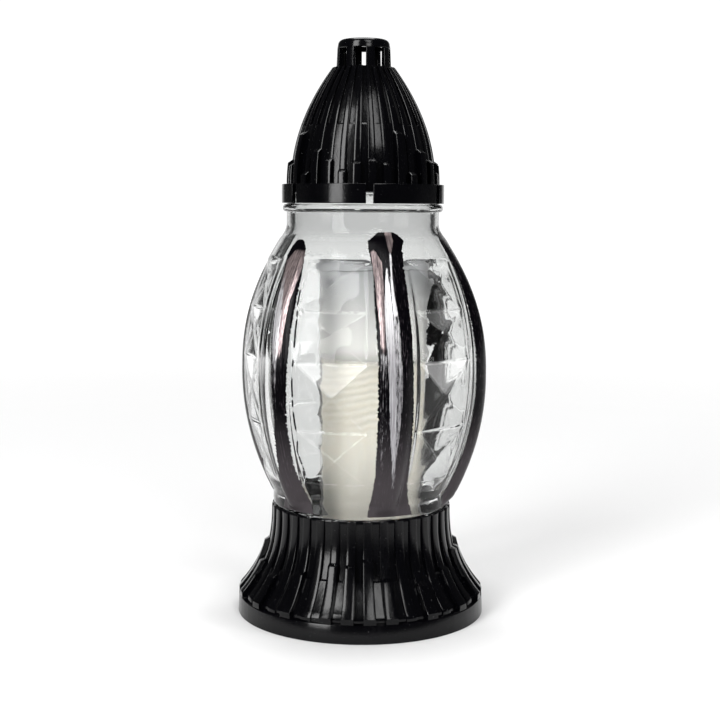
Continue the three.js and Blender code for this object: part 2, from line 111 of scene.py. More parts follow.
class Shade:
    """The node tree of a material or of the world."""

    def __init__(self, owner):
        owner.use_nodes = True
        self.owner = owner
        self.tree = owner.node_tree
        self.tree.nodes.clear()

    def node(self, kind, settings=None, places=None, output=0):
        """Adds a node, makes its settings, then sets or links its sockets by name or number."""
        node = self.tree.nodes.new("ShaderNode" + kind)
        for name, value in (settings or {}).items():
            setattr(node, name, value)
        for name, value in (places or {}).items():
            if isinstance(value, Value):
                self.tree.links.new(value.socket, node.inputs[name])
            else:
                node.inputs[name].default_value = value
        return Value(self, node.outputs[output]) if node.outputs else None

    def mix(self, factor, low, high):
        """A colour between two others."""
        low = low if isinstance(low, Value) else (*low, 1)
        high = high if isinstance(high, Value) else (*high, 1)
        return self.node("Mix", {"data_type": "RGBA"}, {0: factor, 6: low, 7: high}, 2)

    def noise(self, where, scale, detail, roughness):
        """Cloudy noise between 0 and 1, with a scale in ripples to the metre."""
        places = {"Vector": where, "Scale": scale, "Detail": detail, "Roughness": roughness}
        return self.node("TexNoise", None, places)

    def attribute(self, name):
        """A number that the mesh holds at each point."""
        return self.node("Attribute", {"attribute_name": name}, None, "Fac")

    def place(self, stretch=(1, 1, 1)):
        """Object coordinates, stretched along the axes."""
        where = self.node("TexCoord", None, None, "Object")
        return self.node("Mapping", None, {"Vector": where, "Scale": stretch})

    def along(self, axis):
        """The object coordinate along one axis."""
        return self.node("SeparateXYZ", None, {"Vector": self.place()}, axis)

    def bump(self, height, strength, distance):
        """A normal that follows a height, in shares of a distance in metres."""
        places = {"Height": height, "Strength": strength, "Distance": distance}
        return self.node("Bump", None, places)

    def ray(self, fact):
        """What the ray that meets this shader has been through."""
        return self.node("LightPath", None, None, fact)

    def straight(self):
        """1 where the eye looks directly or through clear glass, 0 for mirrored or cast light."""
        bounced = self.ray("Diffuse Depth") + self.ray("Glossy Depth")
        seen = self.ray("Is Camera Ray") + self.ray("Is Transmission Ray")
        return seen.math("MINIMUM", 1.0) * (1 - bounced.math("MINIMUM", 1.0))

    def finish(self, places):
        """Ends the material with one Principled shader and returns the material."""
        shader = self.node("BsdfPrincipled", None, places)
        self.node("OutputMaterial", None, {"Surface": shader})
        return self.owner


# The paper is dark in front as painted shade, for a dark room seen in mirrors; a little darker
# by the flange, as a painted contact shadow; and it glows more the further it is away, as
# painted light
table_reach = 4.0
paper_white = (0.66, 0.66, 0.66)
painted_paper_shade = (0.03, 0.03, 0.03)
shaded_from, shaded_to = -0.16, -0.34
painted_contact_shadow = (0.56, 0.56, 0.56)
contact_from, contact_to = 0.054, 0.086
paper_fill = 1.0
fill_from, fill_to = 0.0, 2.0
fill_least = 0.05
front_glow = 0.05

table = bpy.data.objects.new("table", bpy.data.meshes.new("table"))
corners = [(x * table_reach, y * table_reach, 0) for x, y in ((-1, -1), (1, -1), (1, 1), (-1, 1))]
table.data.from_pydata(corners, [], [(0, 1, 2, 3)])
paper = Shade(bpy.data.materials.new("paper"))
# Painted shade: the paper is dark in front for mirrored and bounced rays
in_front = paper.along("Y").ramp(shaded_from, shaded_to) * (1 - paper.straight())
away = paper.node("VectorMath", {"operation": "LENGTH"}, {0: paper.place()}, "Value")
# Painted light: the paper glows more the further it is away
glow = away.ramp(fill_from, fill_to, fill_least) * (1 - in_front) + in_front * front_glow
# Painted contact shadow: the paper is darker close to the flange
paper_with_contact_shadow = paper.mix(away.ramp(contact_from, contact_to), painted_contact_shadow, paper_white)
table.data.materials.append(paper.finish({
    "Base Color": paper.mix(in_front, paper_with_contact_shadow, painted_paper_shade),
    "Roughness": 0.9,
    "Emission Color": paper.mix(glow, (0, 0, 0), (paper_fill,) * 3),
    "Emission Strength": 1.0,
}))
bpy.context.collection.objects.link(table)

backdrop_light = 1.08
room_light = 0.06
backdrop_side, backdrop_full = 0.84, 0.94
ceiling_start, ceiling_full = 0.45, 0.95

world = bpy.data.worlds.new("studio")
bpy.context.scene.world = world
sky = Shade(world)
toward = sky.node("TexCoord", None, None, "Generated")
behind = sky.node("SeparateXYZ", None, {"Vector": toward}, "Y")
above = sky.node("SeparateXYZ", None, {"Vector": toward}, "Z")
backdrop = behind.ramp(backdrop_side, backdrop_full) * above.ramp(ceiling_full, ceiling_start)
strength = backdrop * (backdrop_light - room_light) + room_light
strength = strength + sky.straight() * (backdrop_light - strength)
background = sky.node("Background", None, {"Color": (1, 1, 1, 1), "Strength": strength})
sky.node("OutputWorld", None, {"Surface": background})

aim = np.array([0, 0, 0.13])
light_distance = 1.3


def soft_box(name, azimuth, elevation, size, radiance, mirrored=True, shadows=True):
    """A rectangular light seen from the lantern at an azimuth and elevation, facing it. Its
    power is pi times its area times its radiance. Glossy skins show it where it is mirrored."""
    data = bpy.data.lights.new(name, "AREA")
    data.shape = "RECTANGLE"
    data.size, data.size_y = size
    data.energy = np.pi * size[0] * size[1] * radiance
    data.use_shadow = shadows
    light = bpy.data.objects.new(name, data)
    turn, lift = np.radians(azimuth), np.radians(elevation)
    level = np.cos(lift) * light_distance
    place = aim + [level * np.sin(turn), -level * np.cos(turn), np.sin(lift) * light_distance]
    light.matrix_world = (
        Matrix.Translation(place)
        @ Matrix.Rotation(turn, 4, "Z")
        @ Matrix.Rotation(np.pi / 2 - lift, 4, "X")
    )
    light.visible_camera = False
    light.visible_glossy = mirrored
    bpy.context.collection.objects.link(light)


# The last one is below the table, so that it lights the back of the insert but not the paper
soft_box("box_left", -37, 26, (0.42, 1.3), 13.5)
soft_box("box_right", 22, 45, (0.36, 0.75), 8.5)
soft_box("box_top", 180, 73, (0.8, 0.5), 10.0)
soft_box("front_fill", 8, 2, (1.6, 0.5), 1.0, mirrored=False)
soft_box("side_fill", 64, 12, (0.6, 0.6), 10.0, mirrored=False)
soft_box("back_fill", 180, -20, (0.9, 0.3), 7.0, mirrored=False, shadows=False)
bpy.context.scene.view_settings.view_transform = "Standard"


# Black plastic
# Base and lid are injection moulded in glossy black plastic. Its skin is a little wavy along the
# draw of the mould, with fine scuffs that dull the gloss and a few specks of dust.
jet, scuffed, dust = (0.0006, 0.0006, 0.001), (0.003, 0.003, 0.004), (0.2, 0.2, 0.2)

plastic = Shade(bpy.data.materials.new("black_plastic"))
skin = plastic.noise(plastic.place(), 1100, 3, 0.6)
waves = plastic.noise(plastic.place((1, 1, 0.2)), 150, 3, 0.55)
scuff = plastic.noise(plastic.place((1, 1, 0.35)), 70, 6, 0.7).ramp(0.55, 0.75)
speck = plastic.noise(plastic.place(), 1500, 1, 0.5).ramp(0.76, 0.80)
black_gloss = plastic.finish({
    "Base Color": plastic.mix(speck * 0.3, plastic.mix(scuff * 0.4, jet, scuffed), dust),
    "Roughness": 0.13 + scuff * 0.16 + skin * 0.05 + speck * 0.3,
    "IOR": 1.3,
    "Normal": plastic.bump(skin * 0.6 + waves * 3.0, 0.35, 0.0001),
})


# Base
# A moulded foot: a flat flange, a flared skirt with ribs, lower fillers between the ribs, thick
# lower parts on some ribs, and a round socket with a deck that the jar's foot is pressed into.
def around(radius, azimuth, height):
    """Points from radius, azimuth and height: x is the radius times the sine of the azimuth, y
    minus the radius times its cosine."""
    turn = np.radians(azimuth)
    x, y, z = np.broadcast_arrays(radius * np.sin(turn), -radius * np.cos(turn), height)
    return np.stack([x, y, z], -1)


def quads(rows, columns, closed=True):
    """Corner numbers of the quads over rows by columns points, numbered row by row. Where
    closed, the last column joins the first."""
    i, j = np.mgrid[0 : rows - 1, 0 : columns if closed else columns - 1]
    k = (j + 1) % columns
    low, high = i * columns, (i + 1) * columns
    return np.stack([low + j, low + k, high + k, high + j], -1).reshape(-1, 4).tolist()


def piece(name, body, slot, points, faces, finish, sharp=30):
    """A mesh object that rides on a body, smooth but for edges sharper than so many degrees."""
    mesh = bpy.data.meshes.new(name)
    mesh.from_pydata(points.reshape(-1, 3).tolist(), [], faces)
    mesh.shade_smooth()
    mesh.set_sharp_from_angle(angle=np.radians(sharp))
    mesh.materials.append(finish)
    made = bpy.data.objects.new(name, mesh)
    bpy.context.collection.objects.link(made)
    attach(made, body)
    return made


def poled(radius, azimuth, height):
    """Points and faces of a closed skin: rows of the grid run round, and the first and last row,
    which lie on the axis, are one point each, joined to their neighbours by a fan."""
    points = around(radius[1:-1], azimuth, height[1:-1])
    rows, columns = points.shape[:2]
    poles = np.array([[0, 0, height[0, 0]], [0, 0, height[-1, 0]]])
    low = rows * columns
    j = np.arange(columns)
    k = (j + 1) % columns
    top = (rows - 1) * columns
    fan = np.stack([np.full(columns, low), k, j], -1).tolist()
    cap = np.stack([np.full(columns, low + 1), top + j, top + k], -1).tolist()
    return np.vstack([points.reshape(-1, 3), poles]), quads(rows, columns) + fan + cap


def spread(profile, columns):
    """A profile's values as rows, each repeated round all the columns."""
    return np.repeat(np.reshape(profile, (-1, 1)).astype(float), columns, axis=1)


def rib_columns(count, turn, width, wall, edge):
    """Azimuths of the grid columns of a ribbed wall, each column's rib number, whether it is on
    the rib's face, 1, or in the groove, 0, how far a rounded edge draws it in, from 0 to 1, and
    how far it is from the rib's middle in degrees."""
    half, groove = width / 2, 180 / count
    at = np.array([-groove, -half - wall, -half, -half + edge / 3, -half + edge, -half / 3])
    at = np.concatenate([at, -at[:0:-1]])
    face = np.array([0, 0, 1, 1, 1, 1, 1, 1, 1, 1, 0])
    drawn = np.array([0, 0, 1, 0.3, 0, 0, 0, 0, 0.3, 1, 0])
    rib = np.repeat(np.arange(count), len(at))
    azimuth = turn + rib * 360 / count + np.tile(at, count)
    return azimuth, rib, np.tile(face, count), np.tile(drawn, count), np.tile(at, count)


flange_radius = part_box("base")[1][0]
base_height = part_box("base")[1][2]
flange_draft = 0.0003
flange_height = 0.0082
flange_edge = 0.0005
rim_radius = 0.0411
rim_edge = 0.0006
rim_wall_edge = 0.0003
foot_radius = 0.0548
foot_top = 0.0104
flare_power = 2.6
deck_top = 0.036
deck_bottom = 0.0336
base_wall = 0.002
socket_radius = 0.0391
base_ribs = 36
base_rib_turn = 4.2
base_rib_width = 5.6
base_rib_wall = 0.1
base_rib_edge = 0.4
base_rib_crown = 0.0001
groove_top, groove_foot = 0.0008, 0.0018
filler_top = 0.0243
filler_drop = 0.0007
filler_chamfer = 0.0006
base_block_rise = 0.0018
base_block_chamfer = 0.0011
base_block_margin = 0.0001
base_block_shares = (0.67, 0.51, 0, 0.45, 0, 0.53, 0, 0.63, 0.62)
base_corner = 0.0003
rim_arc = np.array([0.0001, 0.0003, 0.0007])
rim_drop = np.array([0.0004, 0.0001, 0])
rim_rib_drop = 0.0002
flare_rows = 34
chamfer_rows = np.array([-1, -0.8, -0.5, -0.2, 0])


def base_surface():
    """Radius and height of the base's skin over profile rows and azimuth columns. Outside, the
    radius is the flare's power curve on a rib, less in a groove, and more on a block."""
    azimuth, rib, face, drawn, off = rib_columns(
        base_ribs, base_rib_turn, base_rib_width, base_rib_wall, base_rib_edge
    )
    width = len(azimuth)
    block = np.resize(base_block_shares, base_ribs)[rib] * base_height
    stops = [share * base_height for share in sorted(set(base_block_shares)) if share > 0]
    turns = np.array([-base_block_chamfer, -base_block_chamfer / 2, 0])
    rows = np.concatenate([
        np.linspace(flange_height + rim_arc[0], base_height - rim_edge, flare_rows),
        *[stop + turns for stop in stops],
        *[stop + turns + rim_arc[0] for stop in stops],
        filler_top + filler_chamfer * chamfer_rows,
    ])
    z = np.unique(rows.round(5))[:, None]
    share = np.clip((base_height - z) / (base_height - foot_top), 0, 1)
    flare = rim_radius + (foot_radius - rim_radius) * share**flare_power
    rise = base_block_rise * np.clip((block - z) / base_block_chamfer, 0, 1)
    edge = flange_radius - flange_draft
    crown = base_rib_crown * (2 * off / base_rib_width) ** 2
    proud = (flare + rise) / np.cos(np.radians(off)) - crown - drawn * base_corner
    proud = np.minimum(proud, edge - base_block_margin)
    depth = groove_top + (groove_foot - groove_top) * share
    above = np.clip((z - filler_top) / filler_chamfer + 1, 0, 1)
    outer = np.where(face > 0, proud, flare - filler_drop - (depth - filler_drop) * above)
    under = z[:, 0] < deck_bottom - base_wall / 2
    skirt = (flare - depth - base_wall)[under, 0][::-3]
    skirt_z = z[under, 0][::-3]
    bottom = [0, skirt[0], *skirt, edge - base_wall, edge - base_wall]
    bottom_z = [deck_bottom, deck_bottom, *skirt_z, flange_height - base_wall, 0]
    soft = flange_edge * np.array([1, 0.3, 0])
    flange = [*(flange_radius - soft), *(edge - soft[::-1])]
    flange_z = [*(flange_edge - soft[::-1]), *(flange_height - soft)]
    socket = [socket_radius + rim_wall_edge, socket_radius, socket_radius, 0]
    socket_z = [base_height, base_height - rim_wall_edge, deck_top, deck_top]
    lowered = np.where(face > 0, rim_rib_drop, 0)
    radius = np.vstack([
        spread(bottom + flange, width),
        outer,
        outer[-1] - spread(rim_arc, width),
        spread(socket, width),
    ])
    height = np.vstack([
        spread(bottom_z + flange_z, width),
        spread(z, width),
        base_height - spread(rim_drop, width) - lowered,
        spread(socket_z, width),
    ])
    return radius, azimuth, height


base_moulding = piece(
    "base_moulding", "lantern", "black_plastic", *poled(*base_surface()), black_gloss
)
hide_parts("base")

# Glass jar
# Thick pressed glass: a barrel with six raised ribs and, in each panel between them, four sunk
# pyramids one above another. The inside follows the relief. Its foot is a plug in the base's
# socket, and there is a bead under its mouth.
jar_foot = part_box("glass_jar")[0][2]
jar_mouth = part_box("glass_jar")[1][2]
plug_radius = 0.0387
plug_edge = 0.001
jar_seat = 0.0503
jar_foot_radius = 0.0402
jar_foot_edge = 0.0004
jar_foot_top = 0.0525
jar_rise = 0.0565
belly_radius = 0.0544
belly_height = 0.112
lower_power = 2.05
upper_power = 2.2
shoulder_height = 0.171
shoulder_radius = 0.0376
neck_radius = 0.0344
neck_start = 0.178
bead_rise = 0.0018
bead_power = 0.6
bead_middle = 0.1847
bead_half = 0.0017
bore_radius = 0.031
mouth_edge = 0.0007
foot_wall, side_wall = 0.0054, 0.0034
side_wall_from = 0.075
jar_floor = 0.042
floor_fillet = 0.006
jar_ribs = 6
jar_rib_turn = 15.2
jar_rib_width = 16.8
rib_foot, rib_belly = 0.0042, 0.0029
rib_top = 0.172
rib_power = 0.8
field_width = 34.6
field_sink = 0.0006
field_fade = 0.006
gem_depth = 0.0024
ridge_heights = np.array([0.0659, 0.0898, 0.1192, 0.1410, 0.1618])
ridge_line_half = 0.0003
point_heights = np.array([0.0768, 0.1047, 0.1318, 0.1532])
jar_columns = 360
jar_rows = 112
ledge_half = 0.0003


def barrel(z):
    """Radius of the plain barrel: a level foot, a power curve out to the belly and another in to
    the shoulder, then a square curve into the neck."""
    low = np.clip((belly_height - z) / (belly_height - jar_rise), 0, 1)
    high = np.clip((z - belly_height) / (shoulder_height - belly_height), 0, 1)
    neck = 1 - np.clip((z - shoulder_height) / (neck_start - shoulder_height), 0, 1)
    lower = belly_radius - (belly_radius - jar_foot_radius) * low**lower_power
    upper = belly_radius - (belly_radius - shoulder_radius) * high**upper_power
    shoulder = neck_radius + (shoulder_radius - neck_radius) * neck**2
    return np.where(z < belly_height, lower, np.where(z < shoulder_height, upper, shoulder))


def rib_rise(z):
    """Height of a rib's crest above the barrel: it starts steeply at the foot, thins to the belly
    and runs out at the shoulder."""
    start = np.sqrt(np.clip((z - jar_foot_top) / (jar_rise - jar_foot_top), 0, 1))
    low = np.clip((belly_height - z) / (belly_height - jar_rise), 0, 1)
    high = np.clip((z - belly_height) / (rib_top - belly_height), 0, 1)
    return start * (rib_belly + (rib_foot - rib_belly) * low) * (1 - high**2)


def soften(field):
    """Rounds a grid of radii: each point is averaged with its neighbours, round and upward."""
    field = (np.roll(field, 1, 1) + field * 2 + np.roll(field, -1, 1)) / 4
    upward = np.vstack([field[:1], field, field[-1:]])
    return (upward[:-2] + upward[1:-1] * 2 + upward[2:]) / 4


def jar_relief(azimuth, z):
    """How far the jar's outside stands out from the barrel: a cosine bead on each rib, less the
    sunk field and the pyramids, whose depth falls evenly from each point to its cell's edge.
    Also where the pyramids are, where their upper halves are, and how much further out sideways
    than upwards each place is, which is 0 on a pyramid's slanted edges."""
    pitch = 360 / jar_ribs
    from_rib = (azimuth - jar_rib_turn + pitch / 2) % pitch - pitch / 2
    side = np.clip(np.abs(from_rib) / (jar_rib_width / 2), 0, 1)
    bead = np.cos(side * np.pi / 2) ** rib_power * rib_rise(z)
    across = (pitch / 2 - np.abs(from_rib)) / (field_width / 2)
    cell = np.clip(np.searchsorted(ridge_heights, z) - 1, 0, len(point_heights) - 1)
    point = point_heights[cell]
    end = np.where(z > point, ridge_heights[cell + 1], ridge_heights[cell])
    along = np.abs((z - point) / (end - point))
    inside = (across < 1) & (z > ridge_heights[0]) & (z < ridge_heights[-1])
    from_end = np.minimum(ridge_heights[-1] - z, z - ridge_heights[0])
    sink = field_sink * np.clip(from_end / field_fade, 0, 1)
    depth = sink + gem_depth * (1 - np.maximum(across, along))
    return bead - np.where(inside, depth, 0), inside, inside & (z > point), across - along


jar_azimuth = jar_rib_turn + np.arange(jar_columns) * 360 / jar_columns
jar_heights = np.unique(np.concatenate([
    np.linspace(jar_seat + jar_foot_edge, bead_middle - bead_half, jar_rows),
    *[ridge_heights + step for step in (-ledge_half, 0, ledge_half)],
    point_heights,
]).round(6))
jar_levels = jar_heights[:, None]
jar_radii = barrel(jar_levels) + soften(jar_relief(jar_azimuth, jar_levels)[0])


def jar_radius(azimuth, z):
    """Radius of the jar's outside anywhere, between the nearest points of its grid."""
    column = (azimuth - jar_rib_turn) % 360 * jar_columns / 360
    row = np.interp(z, jar_heights, np.arange(len(jar_heights)))
    i = np.minimum(row.astype(int), len(jar_heights) - 2)
    j = column.astype(int) % jar_columns
    k = (j + 1) % jar_columns
    up, on = row - i, column - column.astype(int)
    low = jar_radii[i, j] * (1 - on) + jar_radii[i, k] * on
    high = jar_radii[i + 1, j] * (1 - on) + jar_radii[i + 1, k] * on
    return low * (1 - up) + high * up


def jar_surface():
    """Radius and height of the glass over profile rows: plug, relief, bead and mouth outside,
    then bore, inside wall and floor. The inside is the relief less the wall."""
    quarter = np.linspace(0, np.pi / 2, 5)
    inward, upward = 1 - np.sin(quarter), 1 - np.cos(quarter)
    seat = jar_foot_radius - jar_foot_edge
    foot = [0, *(plug_radius - plug_edge * inward), plug_radius, seat]
    foot_z = [jar_foot, *(jar_foot + plug_edge * upward), jar_seat, jar_seat]
    half = np.linspace(-np.pi / 2, np.pi / 2, 9)
    bead = neck_radius + bead_rise * np.cos(half) ** bead_power
    bead_z = bead_middle + bead_half * np.sin(half)
    mouth = [*(neck_radius - mouth_edge * upward), *(bore_radius + mouth_edge * inward)]
    mouth_z = [*(jar_mouth - mouth_edge * inward), *(jar_mouth - mouth_edge * upward)]
    inner_z = jar_heights[(jar_heights > jar_rise) & (jar_heights < neck_start)][::-2]
    rows = np.searchsorted(jar_heights, inner_z)
    low = np.clip((side_wall_from - inner_z) / (side_wall_from - jar_rise), 0, 1)[:, None]
    inner = jar_radii[rows] - side_wall - (foot_wall - side_wall) * low**2
    corner = jar_foot_radius - foot_wall - floor_fillet * upward
    corner_z = jar_floor + floor_fillet * inward
    radius = np.vstack([
        spread(foot, jar_columns),
        jar_radii,
        spread([*bead, *mouth, bore_radius], jar_columns),
        inner,
        spread([*corner, 0], jar_columns),
    ])
    up_z, down_z = [*jar_heights, *bead_z, *mouth_z, neck_start], [*inner_z, *corner_z, jar_floor]
    return radius, jar_azimuth, spread(foot_z + up_z + down_z, jar_columns)


def mark(made, name, kind, values):
    """Gives every point of a piece a number or a vector that its material reads."""
    attribute = made.data.attributes.new(name, kind, "POINT")
    field = "vector" if kind == "FLOAT_VECTOR" else "value"
    attribute.data.foreach_set(field, np.ravel(values).astype(np.float32))


# The neck is tinted darker, the glass is darkened where it is seen edge on as painted shade,
# and the upper faces of the pyramids glow a little with painted light and the lines round them
# with painted highlights
glow_belt, glow_half, glow_fade = 0.112, 0.008, 0.004
glass_tint, neck_tint = (0.82, 0.827, 0.822), (0.7, 0.706, 0.703)
edge_shade = (0.03, 0.032, 0.036)

glass = Shade(bpy.data.materials.new("clear_glass"))
peel = glass.noise(glass.place(), 260, 3, 0.6)
grit = glass.noise(glass.place(), 1400, 2, 0.6)
swell = glass.noise(glass.place((1, 1, 0.5)), 45, 2, 0.5)
in_field = glass.attribute("in_field").ramp(0.6, 1.0)
in_upper_half = glass.attribute("in_upper_half")
beside = glass.attribute("beside")
up = glass.along("Z")
ridge_line = sum(up.band(ridge, ridge_line_half, ridge_line_half) for ridge in ridge_heights[:-1])
crease_line = beside.band(0, 0.01, 0.035)
upper_face = beside.ramp(0.03, -0.03) * in_upper_half.ramp(0.4, 0.6)
lines = ridge_line + crease_line * (in_upper_half * 0.7 + 0.3)
# Painted light on the pyramids' upper faces, painted highlights on the lines round them
face_glow = up.band(glow_belt, glow_half, glow_fade) * 0.09 + up.ramp(0.096, 0.106) * 0.04
painted_glow = upper_face * face_glow + lines * peel.ramp(0.4, 0.6) * 0.12
# The neck is tinted darker
neck_band = up.ramp(0.165, 0.178) * up.ramp(0.184, 0.1825)
# Painted shade: the glass is darkened where it is seen edge on
grazing = glass.node("LayerWeight", None, {"Blend": 0.5}, "Facing").ramp(0.76, 0.88)
clear_glass = glass.finish({
    "Base Color": glass.mix(grazing, glass.mix(neck_band, glass_tint, neck_tint), edge_shade),
    "Roughness": 0.0,
    "IOR": 1.4,
    "Specular Tint": (0.2, 0.2, 0.2, 1),
    "Transmission Weight": 1.0,
    "Emission Color": glass.mix(painted_glow * in_field, (0, 0, 0), (1, 1, 1)),
    "Emission Strength": 1.0,
    "Normal": glass.bump(peel * 0.3 + swell * 0.6 + grit * 0.05, 0.25, 0.0003),
})
jar_glass = piece("jar_glass", "lantern", "clear_glass", *poled(*jar_surface()), clear_glass, 50)
# The lights reach the insert straight through the glass
jar_glass.visible_shadow = False
spots = np.empty(len(jar_glass.data.vertices) * 3, np.float32)
jar_glass.data.vertices.foreach_get("co", spots)
x, y, z = spots.reshape(-1, 3).T
relief_marks = jar_relief(np.degrees(np.arctan2(x, -y)), z)[1:]
for name, values in zip(("in_field", "in_upper_half", "beside"), relief_marks):
    mark(jar_glass, name, "FLOAT", values)
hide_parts("glass_jar")

# Rib paint
# Each rib is brushed with black enamel of a metallic cast. Its silvery streaks on the crest and
# its copper on one side near the top are partly the enamel's own cast and partly painted
# highlights, and the silver is brighter higher up. It ends in two lobes at the shoulder and
# spreads where it runs down onto the jar's foot. The left rib's outer flank was missed.
paint_film = 0.00008
paint_rows = 300
paint_columns = 60
paint_heights = (
    np.array([51.5, 55, 59, 65, 71.5, 96.5, 119, 143, 159, 168, 171, 173.5, 174.6]) / 1000
)
full_coat = (
    np.array([-11.2, -10.7, -9.6, -8.6, -8, -8, -8, -9.2, -9.7, -11.9, -11.9, -7, -4.2]),
    np.array([18.8, 17, 14.3, 11.5, 10.3, 8.8, 8.1, 7.6, 8.1, 9.8, 12.6, 9.5, 5.8]),
)
half_coat = (
    np.array([-13.5, -13.5, -9, -4, 0, 3, 2.3, 0.6, -1.5, -6.5, -6, -4.5, -2.5]),
    np.array([14, 13, 11.5, 9.5, 8, 8.1, 9, 10.2, 10.3, 8.3, 7, 4.5, 1.5]),
)
paint_ragged = 0.25
# Strokes of each tone: at each height its left and right edge in degrees from the rib's middle,
# and how strongly it shows
front_silver_highlight = (
    (
        (0.060, 1.2, 2.2, 0.0),
        (0.066, 0.4, 1.8, 0.6),
        (0.083, -1.6, 0.0, 0.95),
        (0.0925, -2.6, -0.3, 1.0),
        (0.105, -3.3, -0.6, 1.0),
        (0.122, -3.8, -1.2, 1.0),
        (0.1345, -4.7, -1.7, 1.0),
        (0.143, -4.6, -1.7, 1.0),
        (0.153, -3.7, -1.8, 1.0),
        (0.159, -2.6, -1.9, 0.8),
        (0.163, -2.2, -1.8, 0.0),
    ),
    (
        (0.070, 0.6, 2.2, 0.0),
        (0.083, -0.2, 1.0, 0.72),
        (0.105, -0.8, 2.2, 0.82),
        (0.122, -1.2, 1.9, 0.82),
        (0.1345, -1.6, 1.5, 0.78),
        (0.146, -1.0, 0.4, 0.6),
        (0.150, -1.0, 0.2, 0.0),
    ),
    (
        (0.136, -0.8, 0.9, 0.0),
        (0.141, -0.8, 0.7, 1.0),
        (0.147, -0.8, 0.2, 1.0),
        (0.153, -0.6, 0.0, 1.0),
        (0.1585, -0.2, 0.4, 0.9),
        (0.165, 0.6, 1.4, 0.9),
        (0.168, 0.8, 1.6, 0.0),
    ),
    (
        (0.062, -7.2, -4.4, 0.0),
        (0.075, -7.2, -4.4, 0.5),
        (0.105, -7.1, -4.5, 0.55),
        (0.114, -6.8, -4.6, 0.6),
        (0.123, -6.8, -4.6, 0.85),
        (0.130, -6.8, -4.8, 0.0),
    ),
)
front_copper_highlight = (
    (
        (0.1165, -6.4, -4.8, 0.0),
        (0.1265, -6.8, -4.9, 0.62),
        (0.1365, -7.0, -4.9, 0.9),
        (0.145, -7.9, -5.0, 1.0),
        (0.153, -8.2, -4.9, 1.0),
        (0.162, -9.6, -4.6, 0.75),
        (0.166, -10.2, -7.4, 0.8),
        (0.1685, -10.4, -8.8, 0.0),
    ),
    (
        (0.163, 0.6, 1.6, 0.0),
        (0.1675, 0.7, 2.6, 0.75),
        (0.171, 0.4, 4.4, 0.85),
        (0.175, 0.4, 4.4, 1.0),
    ),
)
left_silver_highlight = (
    (
        (0.080, 2.5, 4.5, 0.0),
        (0.095, 3.2, 4.8, 0.5),
        (0.118, 2.6, 4.6, 0.7),
        (0.128, 2.2, 4.6, 0.92),
        (0.141, 1.0, 3.8, 0.92),
        (0.148, 0.2, 2.4, 0.8),
        (0.158, -1.6, -0.2, 0.5),
        (0.162, -2.6, -1.4, 0.0),
    ),
)
left_copper_highlight = (
    (
        (0.117, 3.4, 5.6, 0.0),
        (0.124, 3.0, 6.0, 0.8),
        (0.133, 2.2, 6.2, 0.85),
        (0.1455, 0.9, 6.6, 0.95),
        (0.156, -0.8, 8.4, 0.95),
        (0.162, -3.6, 8.6, 0.8),
        (0.166, -1.0, 8.4, 0.6),
        (0.169, 2.0, 7.6, 0.0),
    ),
)
stroke_blur = 0.9
# For each rib from the front one on: its coat, how far up it reaches, its strokes, whether they
# are mirrored, and how strongly its silver and copper, partly painted highlights, show
front_tones, left_tones = (front_silver_highlight, front_copper_highlight), (left_silver_highlight, left_copper_highlight)
paint_coats = (full_coat,) * 5 + (half_coat,)
paint_reaches = (1, 1, 0.86, 0.86, 1, 0.972)
paint_tones = (front_tones,) * 5 + (left_tones,)
paint_sides = (1, -1, 1, -1, 1, 1)
silver_highlight_shares = (1.0, 0.5, 0.8, 0.9, 0.5, 1.0)
copper_highlight_shares = (1.0, 0.2, 0.8, 0.7, 0.3, 1.0)


def rib_coat(edges, reach, ragged):
    """How far each point of a rib's coat is from the rib's middle, in degrees, and its height:
    even steps between the left and right edge at each height. Reach shortens the coat."""
    level = paint_heights[0] + (paint_heights - paint_heights[0]) * reach
    z = np.linspace(level[0], level[-1], paint_rows)[:, None]
    low = np.interp(z, level, edges[0]) + ragged[:1].T
    high = np.interp(z, level, edges[1]) + ragged[1:].T
    off = low + (high - low) * np.linspace(0, 1, paint_columns)
    return off, np.broadcast_to(z, off.shape)


def tone(off, z, strokes):
    """How strongly a tone shows at each point: the strongest of its strokes, each of which fades
    evenly over the blur outside its edges."""
    strongest = np.zeros(off.shape)
    for stroke in strokes:
        level, left, right, showing = np.transpose(stroke)
        middle = np.interp(z, level, (left + right) / 2)
        half = np.interp(z, level, (right - left) / 2)
        near = np.clip(1 - (np.abs(off - middle) - half) / stroke_blur, 0, 1)
        strongest = np.maximum(strongest, near * np.interp(z, level, showing))
    return strongest


def enamelled(name, turn, off, z, place, silver_highlight, copper_highlight):
    """A coat a film above the glass. Its brush marks run up it, and differ with its place."""
    points = around(jar_radius(turn + off, z) + paint_film, turn + off, z)
    faces = quads(*off.shape, False)
    coat = piece(name, "lantern", "black_plastic", points, faces, rib_enamel)
    mark(coat, "silver_highlight", "FLOAT", silver_highlight)
    mark(coat, "copper_highlight", "FLOAT", copper_highlight)
    along = np.radians(off) * belly_radius
    mark(coat, "on_rib", "FLOAT_VECTOR", np.stack([along, np.full(off.shape, place), z], -1))


black, foot_sheen, glint_colour = (0.0012, 0.001, 0.0016), (0.04, 0.035, 0.038), (0.06, 0.05, 0.058)
dim_silver_highlight, bright_silver_highlight = (0.2, 0.194, 0.206), (0.62, 0.612, 0.625)
dark_copper_highlight, bright_copper_highlight = (0.08, 0.063, 0.068), (0.3, 0.243, 0.237)

